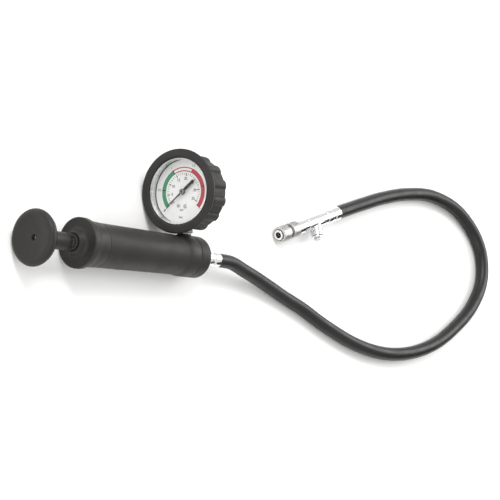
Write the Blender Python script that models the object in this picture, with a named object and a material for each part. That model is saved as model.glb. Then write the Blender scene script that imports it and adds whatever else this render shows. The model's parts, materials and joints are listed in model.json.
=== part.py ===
"""Hand pump with a dial gauge in a rubber boot, a rubber hose and a coupler with a release valve.

The pump lies on its knob, its rear cap and the gauge boot. Constants are in millimetres and
degrees, and MM turns them into Blender's metres. Every assembly has its own frame, an empty
whose +X is the axis that its round pieces are turned about.
"""
import math

import bmesh
import bpy
from mathutils import Matrix, Vector
from mathutils.geometry import interpolate_bezier

MM = 0.001
GAP = 0.3                      # between pieces that touch on the real object

# How the pump lies: its axis runs along X, with the knob at -X
AXIS_PLACE = (78.58, -32.29, 18.40)    # the joint of barrel and rear cap, on the pump's axis
PITCH = 1.696                  # the large knob lifts its own end
LEAN = 16.44                   # the gauge's stem points this far above the floor

# Pump, along its axis, with 0 where the barrel's rear collar ends
KNOB_R = 24.2
KNOB_FRONT = -195.4
NECK_R = 7.6
NECK_END = -148.5
ROD_R = 4.5
CAP_R = 21.7
CAP_FACE = -140.0
BARREL_FRONT_R = 19.0
BARREL_REAR_R = 17.2
BARREL_START = -118.0
BORE_R = 14.5
COLLAR_R = 18.3
COLLAR_START = -14.0
COLLAR_END = -1.0
REAR_CAP_R = 18.2
REAR_CAP_END = 14.0
FERRULE_R = 7.2
FERRULE_END = 38.5

# Gauge, along its own axis, with 0 on the stem's axis and +X towards the reader
STEM_X = -7.2                  # the stem's place along the pump
GAUGE_HEIGHT = 54.9            # the dial's middle above the pump's axis
GAUGE_TURN = 188.7             # the dial faces the knob, turned a little about its stem
BOOT_R = 37.0
BOOT_LIP_R = 29.1
BOOT_FRONT = 17.9
RING_BACK = 9.4
RIB_R = 33.9
VALLEY_R = 31.8
RIBS = 13
RIB_PHASE = 0.25               # puts a valley at the reader's right
CASE_R = 30.0
DIAL_R = 28.1
NEEDLE_ZERO = 45.0             # degrees left of straight down
SECTOR_PIVOT = (-4.5, -9.0)    # depth and height of the sector's pivot, from the needle's axis

# Hose and coupler
HOSE_D = 12.4
COUPLER_PLACE = (305.0, 29.0, 7.45)
COUPLER_HEADING = 198.0        # the tip points this way on the floor
COUPLER_R = 7.4
TEE_R = 6.5
BRANCH_LEAN = 115.0            # from the hose side of the coupler's axis to the branch
BRANCH_LIFT = 8.0
BRANCH_AT = 35.0


MATERIALS = {
    "black_plastic": ((0.030, 0.029, 0.027), 0.50, 0.0),
    "black_rubber": ((0.022, 0.022, 0.021), 0.70, 0.0),
    "hose_rubber": ((0.016, 0.016, 0.016), 0.42, 0.0),
    "seal_rubber": ((0.012, 0.012, 0.012), 0.60, 0.0),
    "chrome": ((0.80, 0.80, 0.81), 0.10, 1.0),
    "knurled_steel": ((0.52, 0.51, 0.50), 0.38, 1.0),
    "steel": ((0.60, 0.60, 0.60), 0.30, 1.0),
    "brass": ((0.78, 0.57, 0.25), 0.30, 1.0),
    "white_enamel": ((0.86, 0.86, 0.85), 0.45, 0.0),
    "needle_black": ((0.015, 0.015, 0.015), 0.45, 0.0),
    "glass": ((0.92, 0.94, 0.94), 0.03, 0.0),
}


def clear_scene():
    for old in list(bpy.data.objects):
        bpy.data.objects.remove(old, do_unlink=True)


def material(name):
    if name in bpy.data.materials:
        return bpy.data.materials[name]
    colour, roughness, metallic = MATERIALS[name]
    made = bpy.data.materials.new(name)
    made.use_nodes = True
    shader = made.node_tree.nodes["Principled BSDF"]
    shader.inputs["Base Color"].default_value = (*colour, 1.0)
    shader.inputs["Roughness"].default_value = roughness
    shader.inputs["Metallic"].default_value = metallic
    if name == "glass":
        shader.inputs["Alpha"].default_value = 0.25
    return made


def frame(name, parent=None, place=(0, 0, 0), turn=None):
    """An empty whose place is in millimetres and whose turn is a rotation matrix."""
    empty = bpy.data.objects.new(name, None)
    bpy.context.collection.objects.link(empty)
    empty.parent = parent
    rotation = turn.to_4x4() if turn else Matrix()
    empty.matrix_local = Matrix.Translation(Vector(place) * MM) @ rotation
    return empty


def add(name, bm, look, parent, place=(0, 0, 0), sharp=35.0):
    """Turns a bmesh in millimetres into an object that stands at place in its parent's frame."""
    bmesh.ops.scale(bm, vec=(MM, MM, MM), verts=bm.verts)
    bmesh.ops.recalc_face_normals(bm, faces=bm.faces)
    mesh = bpy.data.meshes.new(name)
    bm.to_mesh(mesh)
    bm.free()
    mesh.shade_smooth()
    mesh.set_sharp_from_angle(angle=math.radians(sharp))
    made = bpy.data.objects.new(name, mesh)
    bpy.context.collection.objects.link(made)
    if look:
        mesh.materials.append(material(look))
    made.parent = parent
    made.location = Vector(place) * MM
    return made


def spun(profile, steps):
    """A closed body turned about +X from (x, radius) points; open ends lie on the axis."""
    bm = bmesh.new()
    points = [bm.verts.new((x, r, 0.0)) for x, r in profile]
    edges = [bm.edges.new(pair) for pair in zip(points, points[1:])]
    if profile[0][1] > 0:
        edges.append(bm.edges.new((points[-1], points[0])))
    bmesh.ops.spin(bm, geom=points + edges, cent=(0, 0, 0), axis=(1, 0, 0), angle=math.tau,
                   steps=steps, use_merge=True)
    bmesh.ops.remove_doubles(bm, verts=bm.verts, dist=1e-4)
    return bm


def turned(name, profile, look, parent, steps=40, place=(0, 0, 0)):
    return add(name, spun(profile, steps), look, parent, place)


def rod(x0, x1, r, hole=0.0):
    """The profile of a plain cylinder or tube."""
    return [(x0, hole), (x0, r), (x1, r), (x1, hole)]


def arc(x, r, radius, start, end, steps=4):
    """Points of an arc about (x, r); 0 degrees points along +X and 90 away from the axis."""
    out = []
    for i in range(steps + 1):
        a = math.radians(start + (end - start) * i / steps)
        out.append((x + radius * math.cos(a), r + radius * math.sin(a)))
    return out


def cut(target, tool):
    """Takes the tool's shape out of the target."""
    tool.hide_render = True
    tool.display_type = "WIRE"
    modifier = target.modifiers.new(tool.name, "BOOLEAN")
    modifier.operation = "DIFFERENCE"
    modifier.object = tool


def join(target, tool):
    """Makes the tool's shape part of the target."""
    cut(target, tool)
    target.modifiers[-1].operation = "UNION"


def block(size, centre):
    bm = bmesh.new()
    bmesh.ops.create_cube(bm, size=1.0)
    bmesh.ops.scale(bm, vec=size, verts=bm.verts)
    bmesh.ops.translate(bm, vec=centre, verts=bm.verts)
    return bm


def tube_along(name, points, thickness, look, parent=None, sides=2):
    """A filled tube along points in millimetres, as a curve with a bevel."""
    curve = bpy.data.curves.new(name, "CURVE")
    curve.dimensions = "3D"
    curve.bevel_depth = thickness / 2 * MM
    curve.bevel_resolution = sides
    curve.use_fill_caps = True
    spline = curve.splines.new("POLY")
    spline.points.add(len(points) - 1)
    for target, point in zip(spline.points, points):
        target.co = (*(Vector(point) * MM), 1.0)
    curve.materials.append(material(look))
    made = bpy.data.objects.new(name, curve)
    bpy.context.collection.objects.link(made)
    made.parent = parent
    return made


def spring(name, x0, x1, radius, wire, turns, parent, place=(0, 0, 0)):
    per_turn = 8
    points = []
    for i in range(turns * per_turn + 1):
        a = math.tau * i / per_turn
        x = x0 + (x1 - x0) * i / (turns * per_turn)
        points.append((x, radius * math.cos(a), radius * math.sin(a)))
    made = tube_along(name, points, wire, "steel", parent, sides=1)
    made.location = Vector(place) * MM
    return made


def upright(parent, name, place, along):
    """A frame inside another, whose +X points along the given direction."""
    turn = Vector(along).to_track_quat("X", "Z").to_matrix()
    return frame(name, parent, place, turn)


# ---------------------------------------------------------------- the pump

def make_knob(pump):
    back = KNOB_FRONT + 8.6
    profile = [(KNOB_FRONT + 9.6, 0), (KNOB_FRONT + 9.6, 2.5), (KNOB_FRONT + 3.4, 2.5)]
    profile += [(KNOB_FRONT + 2.8, 9.0), (KNOB_FRONT + 1.5, 15.5)]
    profile += arc(KNOB_FRONT + 4.3, KNOB_R - 4.3, 4.3, 200, 20, 6)
    profile += [(back + 1.0, 21.0), (back + 2.8, 13.5), (back + 4.6, NECK_R + 0.6)]
    profile += [(-178.0, NECK_R), (-156.5, NECK_R)]
    profile += arc(-156.5, NECK_R - 6.0, 6.0, 78, 25, 4)
    profile += [(NECK_END, ROD_R + GAP), (-176.0, ROD_R + GAP), (-176.0, 0)]
    turned("knob", profile, "black_plastic", pump, 32)
    head = rod(KNOB_FRONT + 6.2, KNOB_FRONT + 9.2, 2.2)
    screw = turned("knob_screw", head, "steel", pump, 16)
    slot = turned("screw_socket", rod(KNOB_FRONT + 5.6, KNOB_FRONT + 7.6, 1.1), None, pump, 6)
    cut(screw, slot)


def make_plunger(pump):
    shoulder = -38.0
    end = -18.2
    profile = [(-175.7, 0), (-175.7, ROD_R - 0.4), (-175.3, ROD_R), (shoulder, ROD_R)]
    profile += [(shoulder, 2.4), (end + 0.3, 2.4), (end, 2.1), (end, 0)]
    turned("piston_rod", profile, "steel", pump, 24)
    turned("piston_washer", rod(-37.7, -36.3, 9.0, 2.7), "steel", pump, 24)
    groove = [(-36.0, 2.7), (-36.0, 13.5), (-35.6, 13.9), (-33.2, 13.9), (-33.2, 11.6)]
    groove += [(-29.8, 11.6), (-29.8, 13.9), (-26.4, 13.9), (-26.0, 13.5), (-26.0, 2.7)]
    turned("piston", groove, "black_plastic", pump, 24)
    turned("piston_oring", arc(-31.5, 13.05, 1.1, 0, 300, 5), "seal_rubber", pump, 24)
    cup = [(-25.7, 2.7), (-25.7, 13.4), (-25.0, 14.1), (-21.4, 14.1), (-21.4, 13.3)]
    cup += [(-23.6, 12.6), (-23.6, 2.7)]
    turned("piston_cup_seal", cup, "seal_rubber", pump, 24)
    nut = turned("piston_nut", rod(-23.3, -19.2, 4.4), "steel", pump, 6)
    cut(nut, turned("nut_hole", rod(-24.0, -18.5, 2.7), None, pump, 20))


def make_front_cap(pump):
    skirt = CAP_FACE + 5.0
    inner = BARREL_START - 18.0
    profile = [(CAP_FACE - 5.7, 7.1), (CAP_FACE - 5.7, 8.6), (CAP_FACE - 5.2, 9.1)]
    profile += [(CAP_FACE - 0.8, 11.2), (CAP_FACE, 12.4), (CAP_FACE + 0.5, 16.0)]
    profile += [(CAP_FACE, 19.6)]
    profile += arc(CAP_FACE + 0.7, CAP_R - 0.7, 0.7, 180, 90, 3)
    profile += [(skirt, CAP_R), (skirt + 6.0, BARREL_FRONT_R + 0.9)]
    profile += [(BARREL_START - GAP, BARREL_FRONT_R + 0.15)]
    profile += [(BARREL_START - GAP, 18.4), (inner, 18.4), (inner, 7.1)]
    cap = turned("front_cap", profile, "black_plastic", pump, 32)
    tool = turned("air_hole", rod(CAP_FACE - 2.0, inner + 2.0, 1.3), None, pump, 12,
                  (0, 3.0, -13.4))
    cut(cap, tool)
    bush = [(-147.6, ROD_R + 0.25), (-147.6, 6.2), (-147.0, 6.8), (-134.5, 6.8)]
    bush += [(-134.5, ROD_R + 0.25)]
    turned("rod_guide_bush", bush, "black_plastic", pump, 24)


def make_barrel(pump):
    front = BARREL_START - 17.7
    profile = [(front, BORE_R), (front, 18.1), (BARREL_START, 18.1)]
    profile += [(BARREL_START, BARREL_FRONT_R - 0.3), (BARREL_START + 0.3, BARREL_FRONT_R)]
    profile += [(COLLAR_START, BARREL_REAR_R), (COLLAR_START + 0.8, COLLAR_R)]
    profile += [(COLLAR_END - 0.6, COLLAR_R), (COLLAR_END, COLLAR_R - 0.6)]
    profile += [(COLLAR_END, BORE_R)]
    barrel = turned("barrel", profile, "black_plastic", pump, 32)
    boss_frame = upright(pump, "boss_frame", (STEM_X, 0, 0), (0, 1, 0))
    boss = turned("gauge_boss", rod(15.5, 19.0, 6.2), None, boss_frame, 24)
    join(barrel, boss)
    cut(barrel, turned("boss_hole", rod(12.0, 21.0, 3.4), None, boss_frame, 20))


def make_valve(pump):
    seat = [(-17.4, 2.2), (-17.4, 14.2), (-14.6, 14.2), (-14.6, 3.0), (-15.6, 2.2)]
    turned("valve_seat", seat, "brass", pump, 24)
    ball = [(-11.9 - 3.1, 0)] + arc(-11.9, 0, 3.1, 180, 0, 6)[1:-1] + [(-8.8, 0)]
    turned("check_ball", ball, "steel", pump, 16)
    spring("valve_spring", -8.2, 3.2, 2.5, 0.6, 5, pump)


def make_rear_cap(pump):
    start = COLLAR_END + GAP
    spigot = [(start - 3.0, 4.6), (start - 3.0, 14.1), (start - 2.6, 14.1), (start - 2.6, 12.6)]
    spigot += [(start - 0.9, 12.6), (start - 0.9, 14.1), (start, 14.1)]
    outside = [(start, REAR_CAP_R - 0.6), (start + 0.6, REAR_CAP_R), (REAR_CAP_END - 5.0, 18.2)]
    outside += arc(REAR_CAP_END - 5.0, REAR_CAP_R - 5.0, 5.0, 80, 0, 3)
    outside += [(REAR_CAP_END, 8.4), (REAR_CAP_END + 1.4, 7.8)]
    bore = [(REAR_CAP_END + 1.4, 5.3), (6.0, 5.3), (6.0, 1.8), (4.9, 1.8), (4.9, 4.6)]
    turned("rear_cap", spigot + outside + bore, "black_plastic", pump, 32)
    turned("rear_cap_oring", arc(start - 1.75, 13.5, 0.75, 0, 300, 5), "seal_rubber", pump, 24)
    adapter = [(6.3, 2.4), (6.3, 5.0), (15.7, 5.0), (15.7, 8.0), (16.3, 8.6), (21.2, 8.6)]
    adapter += [(21.8, 8.0), (21.8, 2.4)]
    turned("hose_adapter", adapter, "chrome", pump, 6)
    crimp = [(22.1, 3.2), (22.1, 6.4), (22.7, FERRULE_R), (27.0, FERRULE_R)]
    crimp += [(28.0, 6.6), (30.5, 6.6), (31.5, FERRULE_R), (FERRULE_END - 0.4, FERRULE_R)]
    crimp += [(FERRULE_END, FERRULE_R - 0.4), (FERRULE_END, 3.2)]
    turned("pump_ferrule", crimp, "chrome", pump, 24)


# ---------------------------------------------------------------- the gauge

def ribbed_boot():
    """The boot: a round lip in front and, behind it, a body with a rib every few degrees."""
    rows = [(BOOT_FRONT - 4.0, BOOT_LIP_R), (BOOT_FRONT - 1.2, BOOT_LIP_R)]
    rows += [(BOOT_FRONT, BOOT_LIP_R + 1.4), (BOOT_FRONT, BOOT_R - 1.8)]
    rows += arc(BOOT_FRONT - 1.4, BOOT_R - 1.4, 1.4, 30, 110, 3)
    rows += [(RING_BACK + 3.2, BOOT_R - 2.0), (RING_BACK + 0.8, BOOT_R - 3.2)]
    ribbed = [(RING_BACK, 0.6), (RING_BACK - 1.2, 1.0), (-7.0, 1.0), (-10.0, 0.7), (-11.6, 0.0)]
    back = [(-12.6, 27.0), (-12.6, 22.0), (-11.2, 22.0), (-11.2, 30.4), (BOOT_FRONT - 4.0, 30.4)]
    steps = RIBS * 5
    bm = bmesh.new()
    loops = []
    for x, r in rows + ribbed + back:
        loop = []
        for i in range(steps):
            a = math.tau * i / steps
            radius = r
            if (x, r) in ribbed:
                wave = max(0.0, math.cos((a * RIBS) - math.tau * RIB_PHASE)) ** 0.6
                radius = VALLEY_R - 1.4 * (1.0 - r) + (RIB_R - VALLEY_R) * wave * r
            loop.append(bm.verts.new((x, radius * math.cos(a), radius * math.sin(a))))
        loops.append(loop)
    for one, two in zip(loops, loops[1:] + loops[:1]):
        for i in range(steps):
            j = (i + 1) % steps
            bm.faces.new((one[i], one[j], two[j], two[i]))
    return bm


def make_gauge_shell(gauge):
    boot = add("gauge_boot", ribbed_boot(), "black_rubber", gauge)
    slot = add("boot_slot", block((24.0, 14.0, 19.0), (-4.4, -33.0, 0)), None, gauge)
    cut(boot, slot)
    case = [(-10.8, 0), (-10.8, 27.5)] + arc(-8.3, 27.5, 2.5, 180, 90, 2)
    case += [(8.6, CASE_R), (8.6, 28.6), (-9.4, 28.6), (-9.4, 0)]
    shell = turned("gauge_case", case, "chrome", gauge, 32)
    down = upright(gauge, "stem_frame", (0, 0, 0), (0, -1, 0))
    cut(shell, turned("stem_hole", rod(25.0, 34.0, 5.4), None, down, 20))
    bezel = [(8.9, 28.6), (8.9, CASE_R), (13.5, CASE_R), (13.5, 28.95), (16.6, 28.95)]
    bezel += [(16.8, 28.6), (13.4, 27.4), (13.4, 28.6)]
    turned("gauge_bezel", bezel, "chrome", gauge, 40)
    turned("gauge_lens", rod(12.0, 13.1, 28.3), "glass", gauge, 40)
    turned("gauge_dial", rod(7.4, 8.0, DIAL_R, 1.6), "white_enamel", gauge, 40)


def make_stem(gauge):
    down = upright(gauge, "socket_frame", (0, 0, 0), (0, -1, 0))
    base = GAUGE_HEIGHT
    profile = [(18.0, 0), (18.0, 5.1), (base - 23.4, 5.1), (base - 23.4, 6.6)]
    profile += [(base - 22.8, 7.2), (base - 20.6, 7.2), (base - 20.0, 6.6), (base - 20.0, 3.0)]
    profile += [(base - 15.0, 3.0), (base - 15.0, 1.2), (22.0, 1.2), (22.0, 0)]
    turned("gauge_stem", profile, "brass", down, 24)
    turned("stem_washer", rod(base - 19.7, base - 19.3, 6.2, 3.4), "steel", down, 24)


def make_needle(gauge):
    tip, tail = 20.0, 14.9
    bm = bmesh.new()
    half = [(-0.5, -tip), (-0.9, -4.0), (-1.3, 3.0), (-1.7, tail), (1.7, tail), (1.3, 3.0)]
    half += [(0.9, -4.0), (0.5, -tip)]
    a = math.radians(NEEDLE_ZERO)
    outline = []
    for z, y in half:
        outline.append(bm.verts.new((10.2, y * math.cos(a) - z * math.sin(a),
                                     -y * math.sin(a) - z * math.cos(a))))
    flat = bm.faces.new(outline)
    grown = bmesh.ops.extrude_face_region(bm, geom=[flat])
    moved = [v for v in grown["geom"] if isinstance(v, bmesh.types.BMVert)]
    bmesh.ops.translate(bm, vec=(0.5, 0, 0), verts=moved)
    needle = add("gauge_needle", bm, "needle_black", gauge)
    hub = turned("needle_hub", rod(10.0, 11.4, 2.6), None, gauge, 24)
    join(needle, hub)
    cut(needle, turned("hub_hole", rod(9.0, 10.9, 0.9), None, gauge, 16))
    arbor = [(-7.6, 0), (-7.6, 0.5), (-5.4, 0.5), (-5.4, 0.75), (-3.2, 0.75), (-3.2, 0.5)]
    arbor += [(10.6, 0.5), (10.6, 0)]
    turned("needle_arbor", arbor, "brass", gauge, 16)


def make_movement(gauge):
    depth, height = SECTOR_PIVOT
    plate = add("movement_plate", block((1.2, 22.0, 12.0), (-7.6, -8.0, 0)), "brass", gauge)
    cut(plate, turned("arbor_bearing", rod(-9.0, -6.5, 0.9), None, gauge, 12))
    cut(plate, turned("sector_bearing", rod(-9.0, -6.5, 0.9), None, gauge, 12, (0, height, 0)))
    bm = bmesh.new()
    reach = -height - 1.05
    rim = []
    for i in range(9):
        a = math.radians(-36 + 42 * i / 8)
        rim.append((reach * math.cos(a), reach * math.sin(a)))
    rim += [(-1.4, 1.6), (-5.0, 1.2), (-5.0, -1.2), (-1.4, -1.6)]
    face = bm.faces.new([bm.verts.new((depth - 0.4, y, z)) for y, z in rim])
    grown = bmesh.ops.extrude_face_region(bm, geom=[face])
    moved = [v for v in grown["geom"] if isinstance(v, bmesh.types.BMVert)]
    bmesh.ops.translate(bm, vec=(0.8, 0, 0), verts=moved)
    sector = add("sector_gear", bm, "brass", gauge, (0, height, 0))
    join(sector, turned("sector_shaft", rod(-7.6, -3.0, 0.6), None, gauge, 12, (0, height, 0)))
    radius = 21.5
    points = []
    for i in range(25):
        a = math.radians(15 + 250 * i / 24)
        points.append((-1.5, -radius * math.cos(a), -radius * math.sin(a)))
    tube_along("bourdon_tube", points, 4.0, "brass", gauge, sides=1)
    a = math.radians(15 + 250 + 6.5)
    place = (-1.5, -radius * math.cos(a), -radius * math.sin(a))
    turned("tube_tip", rod(-2.2, 2.2, 1.9), "brass", gauge, 12, place)
    for i, (y, z) in enumerate(((-12.2, -3.4), (-12.2, 3.4))):
        head = [(8.3, 0), (8.3, 1.7), (8.8, 1.5), (9.1, 0.9), (9.1, 0)]
        turned(f"dial_screw_{i + 1}", head, "steel", gauge, 16, (0, y, z))


# ---------------------------------------------------------------- the hose and the coupler

HOSE_ROUTE = [                 # from the pump's ferrule down to the floor, round and back
    (117.4, -32.3, 17.3), (137.5, -33.3, 16.3), (157, -38.3, 13.4), (177, -43.6, 10.2),
    (196, -49.8, 7.8), (216, -57.5, 6.5), (239, -66.5, 6.3), (267, -80, 6.3), (307, -95, 6.3),
    (347, -102, 6.3), (387, -100, 6.3), (427, -89.5, 6.3), (462, -72, 6.3), (496, -48, 6.3),
    (519, -18, 6.3), (521, 16, 6.3), (497, 46, 6.3), (459, 59, 6.3), (419, 58, 6.3),
    (381, 51, 6.3), (343, 40.5, 6.4), (318, 33, 7.0), (305, 29, 7.4),
]


def smooth_route(points, spacing):
    """Even steps along the smooth curve through the points."""
    route = [Vector(p) for p in points]
    fine = []
    for i in range(len(route) - 1):
        before = route[max(i - 1, 0)]
        after = route[min(i + 2, len(route) - 1)]
        span = (route[i + 1] - route[i]).length
        lead = (route[i + 1] - before).normalized() * span / 3
        trail = (after - route[i]).normalized() * span / 3
        fine += interpolate_bezier(route[i], route[i] + lead, route[i + 1] - trail,
                                   route[i + 1], 40)[:-1]
    fine.append(route[-1])
    length = sum((b - a).length for a, b in zip(fine, fine[1:]))
    count = round(length / spacing)
    out = [fine[0]]
    walked = 0.0
    for a, b in zip(fine, fine[1:]):
        step = (b - a).length
        while len(out) < count and walked + step >= length * len(out) / count:
            out.append(a.lerp(b, (length * len(out) / count - walked) / step))
        walked += step
    out.append(fine[-1])
    return out


def make_hose():
    tube_along("hose", smooth_route(HOSE_ROUTE, HOSE_D * 0.9), HOSE_D, "hose_rubber")


def make_coupler(coupler):
    ferrule = [(GAP, 3.2), (GAP, 6.4), (0.7, 6.8), (8.0, 6.8), (9.0, 6.3), (12.0, 6.3)]
    ferrule += [(13.0, 6.8), (20.0, 6.8), (20.4, 6.4), (20.4, 3.2)]
    turned("coupler_ferrule", ferrule, "chrome", coupler, 24)
    tee = [(20.7, 0), (20.7, TEE_R - 0.4), (21.1, TEE_R), (50.2, TEE_R), (50.6, TEE_R - 0.4)]
    body = turned("tee_body", tee + [(50.6, 0)], "chrome", coupler, 28)
    lean, lift = math.radians(BRANCH_LEAN), math.radians(BRANCH_LIFT)
    along = (-math.cos(lean), math.sin(lean) * math.cos(lift), math.sin(lean) * math.sin(lift))
    branch = upright(coupler, "branch_frame", (BRANCH_AT, 0, 0), along)
    stub = turned("branch", [(0.3, 0), (0.3, 5.57), (14.6, 5.57), (15.0, 5.2), (15.0, 0)], None,
                  branch, 28)
    join(body, stub)
    cut(body, turned("tee_bore", rod(19.0, 52.0, 2.5), None, coupler, 20))
    bore = [(0.7, 0), (0.7, 1.2), (7.0, 1.2), (7.0, 4.0), (16.0, 4.0), (16.0, 0)]
    cut(body, turned("branch_bore", bore, None, branch, 20))
    turned("release_seal", rod(7.3, 8.3, 3.6, 1.3), "seal_rubber", branch, 16)
    spring("release_spring", 10.0, 11.2, 2.9, 0.5, 2, branch)
    button = [(11.8, 0), (11.8, 3.6), (14.6, 3.6), (14.6, 2.6), (18.4, 2.6), (18.8, 2.2)]
    turned("release_button", button + [(18.8, 0)], "steel", branch, 20)
    collar = [(15.3, 2.9), (15.3, 5.4), (16.6, 5.4), (17.0, 5.0), (17.0, 2.9)]
    turned("release_retainer", collar, "chrome", branch, 28)
    place = (47.2, 5.9 * math.cos(math.radians(35)), 5.9 * math.sin(math.radians(35)))
    plug_frame = upright(coupler, "plug_frame", place, (0, place[1], place[2]))
    cut(body, turned("plug_hole", rod(-1.6, 3.0, 2.3), None, plug_frame, 16))
    turned("tee_plug", rod(-1.3, 0.5, 2.0), "steel", plug_frame, 16)
    core = [(50.9, 2.2), (50.9, 6.1), (51.3, 6.5), (65.2, 6.5), (65.6, 6.1), (65.6, 5.1)]
    core += [(89.0, 5.1), (89.0, 4.7), (92.1, 4.7), (92.5, 4.3), (92.5, 2.9), (88.0, 2.9)]
    core += [(88.0, 2.2)]
    turned("coupler_body", core, "chrome", coupler, 24)
    ring = [(65.9, 5.4), (65.9, 6.9), (66.4, COUPLER_R), (75.8, COUPLER_R), (76.3, 6.9)]
    turned("coupler_ring", ring + [(76.3, 5.4)], "knurled_steel", coupler, 32)
    sleeve = [(80.2, 6.9), (80.2, 7.1), (80.6, COUPLER_R), (91.0, COUPLER_R), (91.5, 6.9)]
    sleeve += [(91.5, 5.4), (87.0, 5.4), (87.0, 6.9)]
    turned("coupler_sleeve", sleeve, "knurled_steel", coupler, 32)
    spring("sleeve_spring", 79.4, 86.2, 6.0, 0.8, 3, coupler)
    turned("tip_seal", rod(89.6, 91.2, 2.6, 1.5), "seal_rubber", coupler, 16)


def build():
    clear_scene()
    tilt = Matrix.Rotation(math.radians(PITCH), 3, "Y") @ Matrix.Rotation(math.radians(LEAN), 3, "X")
    pump = frame("pump_frame", None, AXIS_PLACE, tilt)
    make_knob(pump)
    make_plunger(pump)
    make_front_cap(pump)
    make_barrel(pump)
    make_valve(pump)
    make_rear_cap(pump)
    turn = Matrix.Rotation(math.radians(GAUGE_TURN), 3, "Y")
    gauge = frame("gauge_frame", pump, (STEM_X, GAUGE_HEIGHT, 0), turn)
    make_gauge_shell(gauge)
    make_stem(gauge)
    make_needle(gauge)
    make_movement(gauge)
    heading = Matrix.Rotation(math.radians(COUPLER_HEADING), 3, "Z")
    make_hose()
    make_coupler(frame("coupler_frame", None, COUPLER_PLACE, heading))


build()
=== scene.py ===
"""Looks for the hand pump: fine turned pieces, dial print, knurls and procedural materials.

The object's lengths are in millimetres and MM turns them into metres; the camera, the lights, the
floor and the flag are in metres. Each group of pieces has a frame whose +X is the axis that its
round pieces are turned about, the same frame that the CAD model uses.
"""
import json
import math

import bmesh
import bpy
from mathutils import Matrix, Vector
from mathutils.geometry import interpolate_bezier


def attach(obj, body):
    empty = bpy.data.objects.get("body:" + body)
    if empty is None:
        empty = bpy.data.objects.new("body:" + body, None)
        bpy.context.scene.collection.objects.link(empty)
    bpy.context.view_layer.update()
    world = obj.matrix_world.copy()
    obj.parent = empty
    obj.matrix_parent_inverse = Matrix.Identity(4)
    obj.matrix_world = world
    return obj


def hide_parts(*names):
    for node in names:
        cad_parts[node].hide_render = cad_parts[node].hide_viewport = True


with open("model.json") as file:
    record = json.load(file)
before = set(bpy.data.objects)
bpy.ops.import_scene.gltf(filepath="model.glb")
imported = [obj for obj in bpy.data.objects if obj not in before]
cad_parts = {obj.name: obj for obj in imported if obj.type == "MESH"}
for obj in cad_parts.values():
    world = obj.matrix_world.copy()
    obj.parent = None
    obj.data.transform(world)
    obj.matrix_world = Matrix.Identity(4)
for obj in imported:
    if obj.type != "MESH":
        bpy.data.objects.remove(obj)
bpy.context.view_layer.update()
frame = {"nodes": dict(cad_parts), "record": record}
MM = 0.001
NODES = frame["nodes"]
BODY_OF = {node: body for body, nodes in frame["record"]["behaviour"]["bodies"].items()
           for node in nodes}
SLOT_OF = {part["node"]: part["material_slot"] for part in frame["record"]["subparts"]}

# ---------------------------------------------------------------- the camera

CAMERA_PLACE = (-1.82545, -0.56741, 1.72320)
CAMERA_HEADING = -164.607      # degrees round Z from the object to the camera
CAMERA_ELEVATION = 39.582
CAMERA_ROLL = 73.169


def make_camera():
    data = bpy.data.cameras.new("camera")
    data.lens = 216.0
    data.sensor_width = 36.0
    data.clip_start, data.clip_end = 0.1, 20.0
    camera = bpy.data.objects.new("camera", data)
    bpy.context.scene.collection.objects.link(camera)
    heading, elevation, roll = (math.radians(a) for a in
                                (CAMERA_HEADING, CAMERA_ELEVATION, CAMERA_ROLL))
    back = Vector((math.cos(elevation) * math.cos(heading),
                   math.cos(elevation) * math.sin(heading), math.sin(elevation)))
    level = Vector((-math.sin(heading), math.cos(heading), 0.0))
    right = level * math.cos(roll) + back.cross(level) * math.sin(roll)
    turn = Matrix((right, back.cross(right), back)).transposed().to_4x4()
    camera.matrix_world = Matrix.Translation(CAMERA_PLACE) @ turn
    bpy.context.scene.camera = camera


# ---------------------------------------------------------------- frames, as in the CAD model

def place(x, y, z):
    return Matrix.Translation(Vector((x, y, z)) * MM)


def turn(degrees, axis):
    return Matrix.Rotation(math.radians(degrees), 4, axis)


def towards(parent, spot, along):
    """A frame inside another, whose +X points along the given direction."""
    return parent @ place(*spot) @ Vector(along).to_track_quat("X", "Z").to_matrix().to_4x4()


PUMP_PITCH, PUMP_LEAN = 1.696, 16.44            # degrees, as the pump lies on the floor
STEM_X = -7.2                  # the gauge stem's place along the pump
GAUGE_HEIGHT = 54.9            # the dial's middle above the pump's axis
GAUGE_TURN = 188.7             # the dial faces the knob, turned a little about its stem

PUMP = place(78.58, -32.29, 18.40) @ turn(PUMP_PITCH, "Y") @ turn(PUMP_LEAN, "X")
GAUGE = PUMP @ place(STEM_X, GAUGE_HEIGHT, 0) @ turn(GAUGE_TURN, "Y")
SOCKET = towards(GAUGE, (0, 0, 0), (0, -1, 0))
COUPLER = place(305.0, 29.0, 7.45) @ turn(198.0, "Z")
BRANCH_LEAN, BRANCH_LIFT = math.radians(115.0), math.radians(8.0)
BRANCH = towards(COUPLER, (35.0, 0, 0), (-math.cos(BRANCH_LEAN),
                                         math.sin(BRANCH_LEAN) * math.cos(BRANCH_LIFT),
                                         math.sin(BRANCH_LEAN) * math.sin(BRANCH_LIFT)))
PLUG_SPOT = (47.2, 5.9 * math.cos(math.radians(35)), 5.9 * math.sin(math.radians(35)))
PLUG = towards(COUPLER, PLUG_SPOT, (0, PLUG_SPOT[1], PLUG_SPOT[2]))


# ---------------------------------------------------------------- materials

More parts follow.
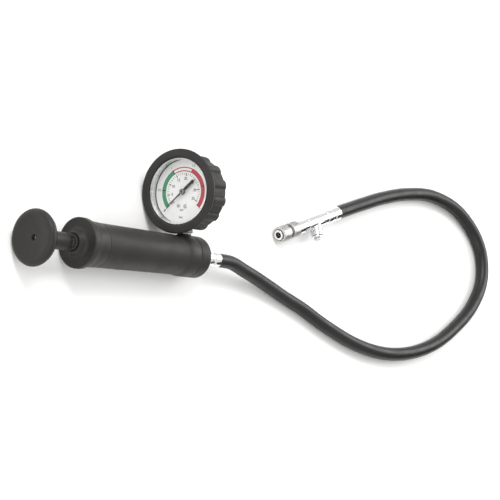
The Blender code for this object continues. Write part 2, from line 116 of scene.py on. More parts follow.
class Look:
    """A material being put together, with short ways to add its nodes."""

    def __init__(self, name, colour, roughness, metallic=0.0, specular=0.5):
        self.material = bpy.data.materials.new(name)
        self.material.use_nodes = True
        self.tree = self.material.node_tree
        self.shader = self.tree.nodes["Principled BSDF"]
        self.shader.inputs["Base Color"].default_value = (*colour, 1.0)
        self.shader.inputs["Roughness"].default_value = roughness
        self.shader.inputs["Metallic"].default_value = metallic
        self.shader.inputs["Specular IOR Level"].default_value = specular
        coordinates = self.tree.nodes.new("ShaderNodeTexCoord")
        self.here = coordinates.outputs["Object"]
        self.height = None

    def link(self, source, target):
        self.tree.links.new(source, target)

    def stretched(self, scale):
        mapping = self.tree.nodes.new("ShaderNodeMapping")
        mapping.inputs["Scale"].default_value = scale
        self.link(self.here, mapping.inputs["Vector"])
        return mapping.outputs["Vector"]

    def noise(self, per_metre, detail=3.0, stretch=None):
        node = self.tree.nodes.new("ShaderNodeTexNoise")
        node.inputs["Scale"].default_value = per_metre
        node.inputs["Detail"].default_value = detail
        self.link(self.stretched(stretch) if stretch else self.here, node.inputs["Vector"])
        return node.outputs["Fac"]

    def ramp(self, value, low, high, start=0.3, end=0.7):
        node = self.tree.nodes.new("ShaderNodeMapRange")
        node.inputs["From Min"].default_value = start
        node.inputs["From Max"].default_value = end
        node.inputs["To Min"].default_value = low
        node.inputs["To Max"].default_value = high
        self.link(value, node.inputs["Value"])
        return node.outputs["Result"]

    def blend(self, value, one, two, start=0.3, end=0.7):
        """Base colour that goes from one colour to the other with the value."""
        node = self.tree.nodes.new("ShaderNodeMix")
        node.data_type = "RGBA"
        node.inputs["A"].default_value = (*one, 1.0)
        node.inputs["B"].default_value = (*two, 1.0)
        self.link(self.ramp(value, 0.0, 1.0, start, end), node.inputs["Factor"])
        self.link(node.outputs["Result"], self.shader.inputs["Base Color"])

    def vary_roughness(self, value, low, high):
        self.link(self.ramp(value, low, high), self.shader.inputs["Roughness"])

    def bump(self, value, distance, strength=1.0):
        """Adds relief of the given depth in millimetres."""
        node = self.tree.nodes.new("ShaderNodeBump")
        node.inputs["Strength"].default_value = strength
        node.inputs["Distance"].default_value = distance * MM
        self.link(value, node.inputs["Height"])
        if self.height:
            self.link(self.height, node.inputs["Normal"])
        self.height = node.outputs["Normal"]
        self.link(self.height, self.shader.inputs["Normal"])


def plastic_look():
    look = Look("moulded_plastic", (0.020, 0.018, 0.0155), 0.50, 0.0, 0.30)
    look.blend(look.noise(28.0, 4.0), (0.017, 0.0155, 0.0131), (0.0235, 0.0214, 0.0182))
    look.vary_roughness(look.noise(90.0, 5.0), 0.44, 0.56)
    look.bump(look.noise(2600.0, 2.0), 0.035)
    look.bump(look.noise(900.0, 3.0, (0.06, 1.0, 1.0)), 0.012)
    return look.material


def boot_look():
    look = Look("boot_rubber", (0.016, 0.0152, 0.0138), 0.56, 0.0, 0.34)
    look.blend(look.noise(60.0, 6.0), (0.0135, 0.0128, 0.0116), (0.021, 0.020, 0.0183))
    look.vary_roughness(look.noise(240.0, 4.0), 0.48, 0.64)
    look.bump(look.noise(2200.0, 3.0), 0.045)
    return look.material


def hose_look():
    look = Look("hose_rubber", (0.012, 0.0115, 0.0115), 0.36, 0.0, 0.30)
    look.blend(look.noise(45.0, 5.0), (0.0095, 0.0092, 0.0092), (0.015, 0.0145, 0.0143))
    look.vary_roughness(look.noise(130.0, 4.0), 0.30, 0.44)
    look.bump(look.noise(1500.0, 3.0), 0.03)
    return look.material


def seal_look():
    look = Look("seal_rubber", (0.014, 0.014, 0.014), 0.55)
    look.vary_roughness(look.noise(400.0, 3.0), 0.48, 0.62)
    look.bump(look.noise(2500.0, 2.0), 0.02)
    return look.material


def metal_look(name, colour, roughness, turned=0.006):
    """Turned metal: faint rings round its own X axis and a little tarnish."""
    look = Look(name, colour, roughness, 1.0)
    darker = tuple(c * 0.86 for c in colour)
    look.blend(look.noise(160.0, 4.0), colour, darker, 0.45, 0.75)
    look.vary_roughness(look.noise(420.0, 5.0), roughness * 0.8, roughness * 1.35)
    look.bump(look.noise(300.0, 3.0, (14.0, 0.4, 0.4)), turned)
    return look.material


def chrome_look(name, roughness):
    look = Look(name, (0.82, 0.82, 0.83), roughness, 1.0)
    look.vary_roughness(look.noise(260.0, 5.0), roughness * 0.7, roughness * 1.5)
    look.bump(look.noise(350.0, 4.0), 0.006)
    return look.material


def knurl_look():
    look = Look("knurled_steel", (0.50, 0.49, 0.47), 0.34, 1.0)
    look.blend(look.noise(700.0, 4.0), (0.56, 0.55, 0.53), (0.34, 0.33, 0.32), 0.4, 0.75)
    look.vary_roughness(look.noise(900.0, 3.0), 0.28, 0.46)
    look.bump(look.noise(3200.0, 2.0), 0.02)
    return look.material


def enamel_look():
    look = Look("white_enamel", (0.90, 0.90, 0.89), 0.38)
    look.blend(look.noise(90.0, 4.0), (0.92, 0.92, 0.91), (0.875, 0.875, 0.86))
    look.bump(look.noise(1200.0, 3.0), 0.006)
    return look.material


def ink_look(name, colour):
    look = Look(name, colour, 0.45)
    look.blend(look.noise(800.0, 4.0), colour, tuple(c * 0.85 + 0.015 for c in colour))
    look.bump(look.noise(2600.0, 2.0), 0.004)
    return look.material


def glass_look():
    look = Look("clear_lens", (0.02, 0.02, 0.02), 0.03)
    look.shader.inputs["Alpha"].default_value = 0.06
    look.vary_roughness(look.noise(70.0, 4.0), 0.02, 0.05)
    look.material.blend_method = "BLEND"
    return look.material


LOOKS = {
    "black_plastic": plastic_look(),
    "black_rubber": boot_look(),
    "hose_rubber": hose_look(),
    "seal_rubber": seal_look(),
    "chrome": chrome_look("chrome_plate", 0.09),
    "satin_chrome": chrome_look("satin_chrome", 0.28),
    "knurled_steel": knurl_look(),
    "steel": metal_look("plain_steel", (0.58, 0.58, 0.58), 0.28),
    "brass": metal_look("turned_brass", (0.76, 0.56, 0.26), 0.28),
    "white_enamel": enamel_look(),
    "needle_black": ink_look("needle_black", (0.016, 0.016, 0.017)),
    "glass": glass_look(),
    "print_black": ink_look("print_black", (0.010, 0.010, 0.012)),
    "print_grey": ink_look("print_grey", (0.11, 0.11, 0.12)),
    "print_red": ink_look("print_red", (0.55, 0.055, 0.085)),
    "print_green": ink_look("print_green", (0.055, 0.30, 0.145)),
    "stem_zinc": metal_look("cast_zinc", (0.30, 0.295, 0.285), 0.42),
}


# ---------------------------------------------------------------- making pieces

def dress(mesh, look, sharp=32.0):
    mesh.shade_smooth()
    mesh.set_sharp_from_angle(angle=math.radians(sharp))
    mesh.materials.append(LOOKS[look])


def piece(name, bm, at, look, sharp=32.0):
    """An object from a mesh in millimetres in the given frame; its own origin stays at 0."""
    bmesh.ops.scale(bm, vec=(MM, MM, MM), verts=bm.verts)
    bmesh.ops.recalc_face_normals(bm, faces=bm.faces)
    mesh = bpy.data.meshes.new(name)
    bm.to_mesh(mesh)
    bm.free()
    mesh.transform(at)
    dress(mesh, look, sharp)
    made = bpy.data.objects.new(name, mesh)
    bpy.context.scene.collection.objects.link(made)
    return made


def stands_for(made, node):
    """The piece takes the place of a CAD node: its body and its own place in view."""
    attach(made, BODY_OF[node])
    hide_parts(node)
    return made


def goes_with(made, node):
    """A detail that rides with a CAD node and doesn't stand for it."""
    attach(made, BODY_OF[node])
    return made


def rounded(profile, radius, steps=3):
    """The profile with its corners rounded; the two ends of an open profile stay."""
    closed = profile[0][1] > 0
    points = [Vector(p) for p in profile]
    out = []
    count = len(points)
    for i, here in enumerate(points):
        if not closed and i in (0, count - 1):
            out.append(here)
            continue
        before = points[i - 1] - here
        after = points[(i + 1) % count] - here
        bend = math.pi - before.angle(after, math.pi)
        reach = min(radius * math.tan(bend / 2), before.length * 0.42, after.length * 0.42)
        if bend < math.radians(12) or reach < 0.004:
            out.append(here)
            continue
        one = here + before.normalized() * reach
        two = here + after.normalized() * reach
        for k in range(steps + 1):
            t = k / steps
            out.append(one * (1 - t) ** 2 + here * 2 * t * (1 - t) + two * t ** 2)
    return [tuple(p) for p in out]


def spun(profile, steps):
    bm = bmesh.new()
    points = [bm.verts.new((x, r, 0.0)) for x, r in profile]
    edges = [bm.edges.new(pair) for pair in zip(points, points[1:])]
    if profile[0][1] > 0:
        edges.append(bm.edges.new((points[-1], points[0])))
    bmesh.ops.spin(bm, geom=points + edges, cent=(0, 0, 0), axis=(1, 0, 0), angle=math.tau,
                   steps=steps, use_merge=True)
    bmesh.ops.remove_doubles(bm, verts=bm.verts, dist=1e-4)
    return bm


def turned(node, profile, at, look, radius=0.3, steps=96, offset=(0, 0, 0)):
    """A finely turned piece that stands for a CAD node."""
    at = at @ place(*offset)
    made = piece(node + "_skin", spun(rounded(profile, radius), steps), at, look)
    return stands_for(made, node)


def rod(x0, x1, r, hole=0.0):
    return [(x0, hole), (x0, r), (x1, r), (x1, hole)]


def arc(x, r, radius, start, end, steps=8):
    out = []
    for i in range(steps + 1):
        a = math.radians(start + (end - start) * i / steps)
        out.append((x + radius * math.cos(a), r + radius * math.sin(a)))
    return out


def carve(target, bm, at, operation="DIFFERENCE"):
    """Cuts the shape out of the target, or joins it on, and applies the result."""
    tool = piece("tool", bm, at, "steel")
    modifier = target.modifiers.new("carve", "BOOLEAN")
    modifier.operation = operation
    modifier.object = tool
    bpy.context.view_layer.update()
    graph = bpy.context.evaluated_depsgraph_get()
    mesh = bpy.data.meshes.new_from_object(target.evaluated_get(graph))
    target.modifiers.clear()
    while len(mesh.materials) > 1:
        mesh.materials.pop()
    target.data = mesh
    mesh.shade_smooth()
    mesh.set_sharp_from_angle(angle=math.radians(32))
    bpy.data.objects.remove(tool, do_unlink=True)


# ---------------------------------------------------------------- the hose

HOSE_D = 12.4
HOSE_ROUTE = [                 # from the pump's ferrule down to the floor, round and back
    (117.4, -32.3, 17.3), (137.5, -33.3, 16.3), (157, -38.3, 13.4), (177, -43.6, 10.2),
    (196, -49.8, 7.8), (216, -57.5, 6.5), (239, -66.5, 6.3), (267, -80, 6.3), (307, -95, 6.3),
    (347, -102, 6.3), (387, -100, 6.3), (427, -89.5, 6.3), (462, -72, 6.3), (496, -48, 6.3),
    (519, -18, 6.3), (521, 16, 6.3), (497, 46, 6.3), (459, 59, 6.3), (419, 58, 6.3),
    (381, 51, 6.3), (343, 40.5, 6.4), (318, 33, 7.0), (305, 29, 7.4),
]


def smooth_route(points, spacing):
    """Even steps along the smooth curve through the points."""
    route = [Vector(p) for p in points]
    fine = []
    for i in range(len(route) - 1):
        before = route[max(i - 1, 0)]
        after = route[min(i + 2, len(route) - 1)]
        span = (route[i + 1] - route[i]).length
        lead = (route[i + 1] - before).normalized() * span / 3
        trail = (after - route[i]).normalized() * span / 3
        fine += interpolate_bezier(route[i], route[i] + lead, route[i + 1] - trail,
                                   route[i + 1], 40)[:-1]
    fine.append(route[-1])
    length = sum((b - a).length for a, b in zip(fine, fine[1:]))
    count = round(length / spacing)
    out = [fine[0]]
    walked = 0.0
    for a, b in zip(fine, fine[1:]):
        step = (b - a).length
        while len(out) < count and walked + step >= length * len(out) / count:
            out.append(a.lerp(b, (length * len(out) / count - walked) / step))
        walked += step
    out.append(fine[-1])
    return out, length


def make_hose():
    points, length = smooth_route(HOSE_ROUTE, 4.0)
    curve = bpy.data.curves.new("hose_skin", "CURVE")
    curve.dimensions = "3D"
    curve.bevel_depth = HOSE_D / 2 * MM
    curve.bevel_resolution = 14
    curve.use_fill_caps = True
    spline = curve.splines.new("POLY")
    spline.points.add(len(points) - 1)
    for target, point in zip(spline.points, points):
        target.co = (*(point * MM), 1.0)
    spline.use_smooth = True
    curve.materials.append(LOOKS["hose_rubber"])
    hose = bpy.data.objects.new("hose_skin", curve)
    bpy.context.scene.collection.objects.link(hose)
    stands_for(hose, "hose")
    return hose, length * MM


# ---------------------------------------------------------------- the pump

KNOB_FRONT = -195.4
CAP_FACE = -140.0


def make_knob():
    front = KNOB_FRONT
    back = front + 8.6
    profile = [(front + 9.6, 0), (front + 9.6, 2.5), (front + 3.4, 2.5)]
    profile += [(front + 3.2, 5.0), (front + 2.8, 9.0), (front + 2.2, 12.6), (front + 1.5, 15.5)]
    profile += [(front + 0.7, 17.6)]
    profile += arc(front + 4.3, 19.9, 4.3, 205, 20, 16)
    profile += [(back - 0.2, 22.6), (back + 0.4, 21.0), (back + 1.6, 17.0), (back + 2.8, 13.5)]
    profile += [(back + 3.6, 10.6), (back + 4.6, 8.2), (back + 6.2, 7.7), (-178.0, 7.6)]
    profile += [(-156.5, 7.6)] + arc(-156.5, 1.6, 6.0, 84, 25, 8)
    profile += [(-148.5, 4.8), (-176.0, 4.8), (-176.0, 0)]
    turned("knob", profile, PUMP, "black_plastic", 0.5, 128)
    made = turned("knob_screw", rod(front + 6.2, front + 9.2, 2.2), PUMP, "steel", 0.3, 48)
    carve(made, spun(rod(front + 5.6, front + 7.6, 1.1), 6), PUMP)


def make_plunger():
    profile = [(-175.7, 0), (-175.7, 4.1), (-175.3, 4.5), (-38.0, 4.5), (-38.0, 2.4)]
    profile += [(-18.5, 2.4), (-18.2, 2.1), (-18.2, 0)]
    turned("piston_rod", profile, PUMP, "steel", 0.2, 72)


def make_front_cap():
    face = CAP_FACE
    profile = [(face - 5.7, 7.1), (face - 5.7, 8.6), (face - 5.2, 9.1)]
    profile += [(face - 0.8, 11.2), (face, 12.4), (face + 0.45, 14.0), (face + 0.5, 16.0)]
    profile += [(face + 0.4, 18.4), (face + 0.1, 19.6)]
    profile += arc(face + 0.7, 21.0, 0.7, 190, 90, 6)
    profile += [(-135.4, 21.7), (-134.4, 21.5), (-132.6, 20.9), (-130.6, 20.25), (-129.0, 19.85)]
    profile += [(-126.0, 19.55), (-118.3, 19.15)]
    profile += [(-118.3, 18.4), (-136.0, 18.4), (-136.0, 7.1)]
    cap = turned("front_cap", profile, PUMP, "black_plastic", 0.6, 128)
    carve(cap, spun(rod(face - 2.0, -134.0, 1.3), 32), PUMP @ place(0, 3.0, -13.4))
    bush = [(-147.6, 4.75), (-147.6, 6.2), (-147.0, 6.8), (-134.5, 6.8), (-134.5, 4.75)]
    turned("rod_guide_bush", bush, PUMP, "black_plastic", 0.25)


def make_barrel():
    profile = [(-135.7, 14.5), (-135.7, 18.1), (-118.0, 18.1), (-118.0, 18.7), (-117.7, 19.0)]
    profile += [(-18.0, 17.27), (-16.0, 17.45), (-13.6, 18.0), (-12.0, 18.25), (-9.0, 18.3)]
    profile += [(-1.3, 18.3), (-1.0, 18.0), (-1.0, 14.5)]
    barrel = turned("barrel", profile, PUMP, "black_plastic", 0.5, 128)
    boss = towards(PUMP, (STEM_X, 0, 0), (0, 1, 0))
    carve(barrel, spun(rounded([(15.5, 0), (15.5, 6.2), (19.0, 6.2), (19.0, 0)], 0.4), 48), boss,
          "UNION")
    carve(barrel, spun(rod(12.0, 21.0, 3.4), 32), boss)


def make_rear_cap():
    profile = [(-3.7, 4.6), (-3.7, 14.1), (-3.3, 14.1), (-3.3, 12.6), (-1.6, 12.6)]
    profile += [(-1.6, 14.1), (-0.7, 14.1), (-0.7, 17.6), (-0.1, 18.2), (9.0, 18.2)]
    profile += arc(9.0, 13.2, 5.0, 84, 0, 10)
    profile += [(14.0, 8.4), (15.4, 7.8), (15.4, 5.3), (6.0, 5.3), (6.0, 1.8), (4.9, 1.8)]
    profile += [(4.9, 4.6)]
    turned("rear_cap", profile, PUMP, "black_plastic", 0.4, 128)
    hexagon = [(6.3, 2.4), (6.3, 5.0), (15.7, 5.0), (15.7, 8.0), (16.3, 8.6), (21.2, 8.6)]
    hexagon += [(21.8, 8.0), (21.8, 2.4)]
    adapter = turned("hose_adapter", hexagon, PUMP, "chrome", 0.0, 6)
    soften(adapter, 0.35)
    crimp = [(22.1, 3.2), (22.1, 6.4), (22.7, 7.2), (27.0, 7.2), (28.0, 6.6), (30.5, 6.6)]
    crimp += [(31.5, 7.2), (38.1, 7.2), (38.5, 6.8), (38.5, 3.2)]
    turned("pump_ferrule", crimp, PUMP, "chrome", 0.6)


def soften(made, width, segments=3):
    """Small rounded edges on a piece with flats."""
    modifier = made.modifiers.new("soft_edges", "BEVEL")
    modifier.width = width * MM
    modifier.segments = segments
    modifier.limit_method = "ANGLE"
    modifier.angle_limit = math.radians(25)


# ---------------------------------------------------------------- the gauge

RIBS = 13
RIB_PHASE = 0.40               # how far the first rib stands from the top, in ribs
RIB_HEIGHT = 2.1
RIB_HALF_WIDTH = 0.50          # as a share of half the way from one rib to the next
RIB_STEPS = 26                 # points round the boot for each rib


def rib_wave(turns):
    """0 in a flat valley and 1 on a rounded rib; turns counts ribs round the boot."""
    away = abs(turns - round(turns)) * 2
    if away >= RIB_HALF_WIDTH:
        return 0.0
    return math.sqrt(max(0.0, 1.0 - (away / RIB_HALF_WIDTH) ** 2)) ** 0.8


def make_boot():
    rows = [(13.9, 29.1, 0), (15.8, 29.1, 0), (16.8, 29.3, 0), (17.5, 29.8, 0)]
    rows += [(17.85, 30.6, 0), (17.9, 31.6, 0), (17.9, 34.4, 0)]
    rows += [(x, r, 0) for x, r in arc(16.5, 35.6, 1.4, 12, 110, 8)]
    rows += [(14.6, 36.1, 0), (12.6, 35.0, 0), (11.2, 34.1, 0), (10.2, 33.3, 0.1)]
    rows += [(9.4, 32.5, 0.5), (8.9, 32.1, 0.8), (8.2, 31.9, 0.95), (7.2, 31.8, 1.0)]
    rows += [(2.0, 31.8, 1.0), (-3.0, 31.8, 1.0), (-7.0, 31.8, 1.0), (-9.2, 31.7, 0.9)]
    rows += [(-10.6, 31.3, 0.6), (-11.6, 30.5, 0.2), (-12.3, 29.2, 0), (-12.6, 27.4, 0)]
    rows += [(-12.6, 22.5, 0), (-12.4, 22.0, 0), (-11.2, 22.0, 0), (-11.2, 30.4, 0)]
    rows += [(13.9, 30.4, 0)]
    steps = RIBS * RIB_STEPS
    bm = bmesh.new()
    loops = []
    for x, r, rib in rows:
        loop = []
        for i in range(steps):
            a = math.tau * i / steps
            radius = r + RIB_HEIGHT * rib * rib_wave(i / RIB_STEPS - RIB_PHASE)
            loop.append(bm.verts.new((x, radius * math.cos(a), radius * math.sin(a))))
        loops.append(loop)
    for one, two in zip(loops, loops[1:] + loops[:1]):
        for i in range(steps):
            j = (i + 1) % steps
            bm.faces.new((one[i], one[j], two[j], two[i]))
    boot = piece("gauge_boot_skin", bm, GAUGE, "black_rubber", 38.0)
    stands_for(boot, "gauge_boot")
    slot = bmesh.new()
    bmesh.ops.create_cube(slot, size=1.0)
    bmesh.ops.scale(slot, vec=(24.0, 14.0, 19.0), verts=slot.verts)
    bmesh.ops.translate(slot, vec=(-4.4, -33.0, 0), verts=slot.verts)
    carve(boot, slot, GAUGE)


def make_gauge_shell():
    bezel = [(8.9, 28.6), (8.9, 30.0), (13.5, 30.0), (13.5, 28.95), (16.6, 28.95)]
    bezel += [(16.8, 28.6), (13.4, 27.4), (13.4, 28.6)]
    turned("gauge_bezel", bezel, GAUGE, "satin_chrome", 0.15, 160)
    turned("gauge_lens", rod(12.0, 13.1, 28.3), GAUGE, "glass", 0.1, 160)
    turned("gauge_dial", rod(7.4, 8.0, 28.1, 1.6), GAUGE, "white_enamel", 0.1, 160)


def make_stem():
    base = GAUGE_HEIGHT
    profile = [(18.0, 0), (18.0, 5.1), (base - 23.4, 5.1), (base - 23.4, 6.6)]
    profile += [(base - 22.8, 7.2), (base - 20.6, 7.2), (base - 20.0, 6.6), (base - 20.0, 3.0)]
    profile += [(base - 15.0, 3.0), (base - 15.0, 1.2), (22.0, 1.2), (22.0, 0)]
    turned("gauge_stem", profile, SOCKET, "stem_zinc", 0.4, 72)
    turned("stem_washer", rod(base - 19.7, base - 19.3, 6.2, 3.4), SOCKET, "steel", 0.1, 72)


# ---------------------------------------------------------------- the dial's print

PRINT_BACK = 8.02              # just in front of the dial's face at 8.0
NEEDLE_ZERO = 45.0             # degrees left of straight down
PSI_PER_BAR = 14.504
LOW_END = 0.5                  # bar; the scale is tighter below this than above it
DEGREES_BELOW, DEGREES_ABOVE = 90.0, 107.5      # for each bar


def dial_angle(bar):
    """Where the reader sees a value: degrees from the right, anticlockwise."""
    return 225.0 - DEGREES_BELOW * min(bar, LOW_END) - DEGREES_ABOVE * max(bar - LOW_END, 0.0)


def on_dial(radius, degrees, depth):
    """A point of the dial in the gauge's frame; the reader's right is the frame's -Z."""
    a = math.radians(degrees)
    return (depth, radius * math.sin(a), -radius * math.cos(a))


def band(bm, inner, outer, start, end, depth=PRINT_BACK, thick=0.03):
    """A thin raised arc from one bar value to another."""
    steps = max(2, round(abs(dial_angle(end) - dial_angle(start)) / 1.5))
    rings = []
    for i in range(steps + 1):
        a = dial_angle(start + (end - start) * i / steps)
        rings.append([bm.verts.new(on_dial(r, a, x)) for r, x in (
            (inner, depth), (inner, depth + thick), (outer, depth + thick), (outer, depth))])
    for one, two in zip(rings, rings[1:]):
        for k in range(4):
            bm.faces.new((one[k], one[(k + 1) % 4], two[(k + 1) % 4], two[k]))
    bm.faces.new(rings[0])
    bm.faces.new(rings[-1][::-1])


def tick(bm, inner, outer, bar, width, depth=PRINT_BACK + 0.02, thick=0.04):
    """A straight radial mark of the given width in millimetres."""
    a = math.radians(dial_angle(bar))
    along = Vector((0, math.sin(a), -math.cos(a)))
    side = Vector((0, math.cos(a), math.sin(a))) * width / 2
    corners = [along * inner - side, along * inner + side, along * outer + side,
               along * outer - side]
    low = [bm.verts.new(c + Vector((depth, 0, 0))) for c in corners]
    high = [bm.verts.new(c + Vector((depth + thick, 0, 0))) for c in corners]
    bm.faces.new(low)
    bm.faces.new(high[::-1])
    for k in range(4):
        bm.faces.new((low[k], low[(k + 1) % 4], high[(k + 1) % 4], high[k]))


def figures(name, labels, size, look, boldness=0.0):
    """Dial numbers as one mesh; labels are (text, reader's right, up) in millimetres."""
    bm = bmesh.new()
    for text, right, up in labels:
        curve = bpy.data.curves.new("figure", "FONT")
        curve.body = text
        curve.size = size
        curve.align_x = "CENTER"
        curve.align_y = "CENTER"
        curve.extrude = 0.02
        curve.offset = boldness
        shown = bpy.data.objects.new("figure", curve)
        bpy.context.scene.collection.objects.link(shown)
        bpy.context.view_layer.update()
        graph = bpy.context.evaluated_depsgraph_get()
        mesh = bpy.data.meshes.new_from_object(shown.evaluated_get(graph))
        turned_to_dial = Matrix(((0, 0, 1, PRINT_BACK + 0.02), (0, 1, 0, up),
                                 (-1, 0, 0, -right), (0, 0, 0, 1)))
        mesh.transform(turned_to_dial)
        bm.from_mesh(mesh)
        bpy.data.objects.remove(shown, do_unlink=True)
    made = piece(name, bm, GAUGE, look)
    return goes_with(made, "gauge_dial")


def make_print():
    green = bmesh.new()
    band(green, 18.0, 21.9, 0.0, 1.0)
    goes_with(piece("dial_green_band", green, GAUGE, "print_green"), "gauge_dial")
    red = bmesh.new()
    band(red, 21.0, 21.9, 1.0, 1.5)
    band(red, 18.0, 18.9, 1.0, 1.5)
    band(red, 18.0, 21.9, 1.5, 2.5)
    goes_with(piece("dial_red_band", red, GAUGE, "print_red"), "gauge_dial")
    black = bmesh.new()
    tick(black, 17.9, 22.3, 1.0, 0.8)
    for bar in (0.5, 2.0):
        tick(black, 18.0, 21.9, bar, 0.75)
    tick(black, 17.9, 22.1, 2.5, 0.45)
    tick(black, 17.9, 26.0, 0.0, 0.45)
    for psi in range(36):
        long = psi % 5 == 0
        tick(black, 13.9 if long else 15.1, 16.7, psi / PSI_PER_BAR, 0.75 if long else 0.36)
    goes_with(piece("dial_marks", black, GAUGE, "print_black"), "gauge_dial")
    inner = []
    for psi in range(0, 36, 5):
        _, up, left = on_dial(11.7 if psi else 13.0, dial_angle(psi / PSI_PER_BAR), 0)
        inner.append((str(psi), -left, up))
    figures("dial_inner_numbers", inner, 3.4, "print_black", 0.05)
    outer = []
    for step in range(6):
        bar = step / 2
        _, up, left = on_dial(24.6, dial_angle(bar), 0)
        outer.append((f"{bar:g}", -left, up))
    figures("dial_outer_numbers", outer, 2.9, "print_grey", 0.03)
    figures("dial_unit_names", [("psi", 0, -15.6), ("bar", 0, -22.0)], 3.0, "print_black", 0.03)


def make_needle():
    tip, tail = 20.0, 14.9     # how far each end is from the middle
    half = [(0.28, -tip), (0.5, -12.0), (0.75, -3.0), (1.0, 2.6), (1.35, 4.5), (1.45, tail - 0.8)]
    half += [(1.0, tail)]
    outline = [(-z, y) for z, y in half] + [(z, y) for z, y in reversed(half)]
    a = math.radians(NEEDLE_ZERO)
    bm = bmesh.new()
    low = [bm.verts.new((10.2, y * math.cos(a) - z * math.sin(a),
                         -y * math.sin(a) - z * math.cos(a))) for z, y in outline]
    face = bm.faces.new(low)
    grown = bmesh.ops.extrude_face_region(bm, geom=[face])
    moved = [v for v in grown["geom"] if isinstance(v, bmesh.types.BMVert)]
    bmesh.ops.translate(bm, vec=(0.5, 0, 0), verts=moved)
    needle = piece("gauge_needle_skin", bm, GAUGE, "needle_black")
    soften(needle, 0.12, 2)
    stands_for(needle, "gauge_needle")
    disc = piece("needle_hub_disc", spun(rounded([(10.0, 0), (10.0, 2.6), (10.95, 2.6),
                                                  (10.95, 0)], 0.1), 64), GAUGE, "needle_black")
    goes_with(disc, "gauge_needle")
    hub = [(10.98, 0.9), (10.98, 2.35), (11.25, 2.35), (11.4, 2.1), (11.4, 1.1), (11.25, 0.9)]
    ring = piece("needle_hub", spun(rounded(hub, 0.15), 64), GAUGE, "stem_zinc")
    goes_with(ring, "gauge_needle")
    pin = piece("needle_hub_pin", spun(rounded([(10.98, 0), (10.98, 0.8), (11.2, 0.8), (11.3, 0)],
                                               0.1), 32), GAUGE, "needle_black")
    goes_with(pin, "gauge_needle")
    heads = [(8.3, 0), (8.3, 1.7), (8.7, 1.65), (9.0, 1.2), (9.1, 0)]
    for i, z in enumerate((-3.4, 3.4)):
        screw = turned(f"dial_screw_{i + 1}", heads, GAUGE, "steel", 0.2, 48, (0, -12.2, z))
        cut = bmesh.new()
        bmesh.ops.create_cube(cut, size=1.0)
        bmesh.ops.scale(cut, vec=(0.6, 0.45, 4.0), verts=cut.verts)
        carve(screw, cut, GAUGE @ place(9.1, -12.2, z) @ turn(35, "X"))


# ---------------------------------------------------------------- the coupler

KNURL_R = 7.4                  # the knurled rings' outer radius
KNURL_FLOOR = 7.2              # nothing nearer the axis than this is grooved
KNURL_SLANT = 1.2


def knurl(node, profile, start, end, ridges=56, depth=0.16):
    """A turned ring whose band between start and end has crossed grooves."""
    bm = spun(rounded(profile, 0.25), ridges * 6)
    inner = min(r for _, r in profile)
    long = [e for e in bm.edges if e.is_valid and
            abs(e.verts[0].co.x - e.verts[1].co.x) > (end - start) * 0.6 and
            min(e.verts[0].co.yz.length, e.verts[1].co.yz.length) > inner + 1.0]
    bmesh.ops.subdivide_edges(bm, edges=long, cuts=30, use_grid_fill=False)
    pitch = math.tau * KNURL_R / ridges
    for v in bm.verts:
        radius = v.co.yz.length
        if radius < KNURL_FLOOR or not start < v.co.x < end:
            continue
        a = math.atan2(v.co.z, v.co.y)
        lead = (v.co.x - start) / pitch
        one = abs(math.sin(a * ridges / 2 + lead * math.pi / 2 * KNURL_SLANT))
        two = abs(math.sin(a * ridges / 2 - lead * math.pi / 2 * KNURL_SLANT))
        fade = min(1.0, (v.co.x - start) / 0.4, (end - v.co.x) / 0.4)
        scale = 1.0 - depth * (1.0 - min(one, two)) ** 2 * fade / radius
        v.co.y *= scale
        v.co.z *= scale
    made = piece(node + "_skin", bm, COUPLER, "knurled_steel", 40.0)
    return stands_for(made, node)


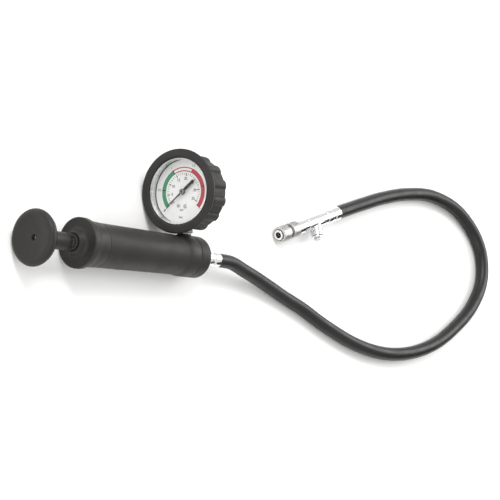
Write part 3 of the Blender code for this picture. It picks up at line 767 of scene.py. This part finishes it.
def make_coupler():
    ferrule = [(0.3, 3.2), (0.3, 6.4), (0.7, 6.8), (8.0, 6.8), (9.0, 6.3), (12.0, 6.3)]
    ferrule += [(13.0, 6.8), (20.0, 6.8), (20.4, 6.4), (20.4, 3.2)]
    turned("coupler_ferrule", ferrule, COUPLER, "chrome", 0.5)
    tee = piece("tee_body_skin", spun(rounded([(20.7, 0), (20.7, 6.1), (21.1, 6.5), (50.2, 6.5),
                                               (50.6, 6.1), (50.6, 0)], 0.3), 96), COUPLER,
                "chrome")
    stands_for(tee, "tee_body")
    stub = rounded([(0.3, 0), (0.3, 5.57), (14.6, 5.57), (15.0, 5.2), (15.0, 0)], 0.3)
    carve(tee, spun(stub, 80), BRANCH, "UNION")
    carve(tee, spun(rod(19.0, 52.0, 2.5), 48), COUPLER)
    bore = [(0.7, 0), (0.7, 1.2), (7.0, 1.2), (7.0, 4.0), (16.0, 4.0), (16.0, 0)]
    carve(tee, spun(bore, 48), BRANCH)
    carve(tee, spun(rod(-1.6, 3.0, 2.3), 40), PLUG)
    turned("tee_plug", rod(-1.3, 0.5, 2.0), PLUG, "steel", 0.4, 48)
    button = [(11.8, 0), (11.8, 3.6), (14.6, 3.6), (14.6, 2.6), (18.4, 2.6), (18.8, 2.2)]
    turned("release_button", button + [(18.8, 0)], BRANCH, "steel", 0.3, 64)
    collar = [(15.3, 2.9), (15.3, 4.7), (15.9, 4.7), (15.9, 5.4), (16.7, 5.4), (17.0, 5.1)]
    collar += [(17.0, 2.9)]
    turned("release_retainer", collar, BRANCH, "chrome", 0.3, 80)
    core = [(50.9, 2.2), (50.9, 6.1), (51.3, 6.5), (65.2, 6.5), (65.6, 6.1), (65.6, 5.1)]
    core += [(89.0, 5.1), (89.0, 4.7), (92.1, 4.7), (92.5, 4.3), (92.5, 2.9), (88.0, 2.9)]
    core += [(88.0, 2.2)]
    turned("coupler_body", core, COUPLER, "chrome", 0.3)
    ring = [(65.9, 5.4), (65.9, 6.9), (66.4, 7.4), (75.8, 7.4), (76.3, 6.9), (76.3, 5.4)]
    knurl("coupler_ring", ring, 66.5, 75.7)
    sleeve = [(80.2, 6.9), (80.2, 7.1), (80.6, 7.4), (91.0, 7.4), (91.5, 6.9), (91.5, 5.4)]
    sleeve += [(87.0, 5.4), (87.0, 6.9)]
    knurl("coupler_sleeve", sleeve, 80.7, 90.9)
    turned("tip_seal", rod(89.6, 91.2, 2.6, 1.5), COUPLER, "seal_rubber", 0.3, 64)


# ---------------------------------------------------------------- the studio

FLOOR_SIZE = 8.0
WORLD_STRENGTH = 0.90
FLAG_PLACE = (1.29, -0.52, 0.0)
FLAG_TURN = 65.0
FLAG_SIZE = (0.45, 1.0, 0.60)


def make_floor():
    mesh = bpy.data.meshes.new("floor")
    half = FLOOR_SIZE / 2
    mesh.from_pydata([(-half, -half, 0), (half, -half, 0), (half, half, 0), (-half, half, 0)],
                     [], [(0, 1, 2, 3)])
    look = Look("floor_paper", (0.93, 0.93, 0.925), 0.85, 0.0, 0.2)
    look.bump(look.noise(1500.0, 2.0), 0.01)
    mesh.materials.append(look.material)
    floor = bpy.data.objects.new("floor", mesh)
    bpy.context.scene.collection.objects.link(floor)
    floor.location.z = -0.0002


def make_light(name, spot, size, power, colour=(1.0, 1.0, 1.0)):
    """A soft square light at spot that points at the middle of the object."""
    data = bpy.data.lights.new(name, "AREA")
    data.shape = "SQUARE"
    data.size = size
    data.energy = power
    data.color = colour
    light = bpy.data.objects.new(name, data)
    bpy.context.scene.collection.objects.link(light)
    aim = Vector((0.15, 0.0, 0.02)) - Vector(spot)
    light.matrix_world = Matrix.Translation(spot) @ aim.to_track_quat("-Z", "Y").to_matrix().to_4x4()


def make_flag():
    """A low dark card past the object that only reflections see, so chrome gets its contrast."""
    mesh = bpy.data.meshes.new("flag")
    mesh.from_pydata([(-1, 0, 0), (1, 0, 0), (1, 0, 1), (-1, 0, 1)], [], [(0, 1, 2, 3)])
    mesh.materials.append(Look("flag_cloth", (0.02, 0.02, 0.02), 0.9).material)
    flag = bpy.data.objects.new("flag", mesh)
    bpy.context.scene.collection.objects.link(flag)
    flag.location = FLAG_PLACE
    flag.rotation_euler.z = math.radians(FLAG_TURN)
    flag.scale = FLAG_SIZE
    flag.visible_camera = False
    flag.visible_diffuse = False
    flag.visible_shadow = False


def make_studio():
    make_floor()
    make_flag()
    world = bpy.data.worlds.new("studio")
    world.use_nodes = True
    background = world.node_tree.nodes["Background"]
    background.inputs["Color"].default_value = (1.0, 0.995, 0.985, 1.0)
    background.inputs["Strength"].default_value = WORLD_STRENGTH
    bpy.context.scene.world = world
    make_light("key", (-0.6, 1.3, 1.5), 1.0, 24.0)
    make_light("fill", (-1.6, -0.9, 0.9), 1.2, 10.0)
    make_light("back", (1.6, 0.4, 1.1), 1.0, 14.0)
    view = bpy.context.scene.view_settings
    view.view_transform = "Standard"
    view.look = "None"
    view.exposure = 0.0
    view.gamma = 1.0


# ---------------------------------------------------------------- putting it together

make_camera()
hose, hose_length = make_hose()
make_coupler()
make_knob()
make_plunger()
make_front_cap()
make_barrel()
make_rear_cap()
make_boot()
make_gauge_shell()
make_stem()
make_print()
make_needle()

for node, shown in NODES.items():
    if shown.data.materials:
        shown.data.materials[0] = LOOKS[SLOT_OF[node]]
    else:
        shown.data.materials.append(LOOKS[SLOT_OF[node]])

make_studio()
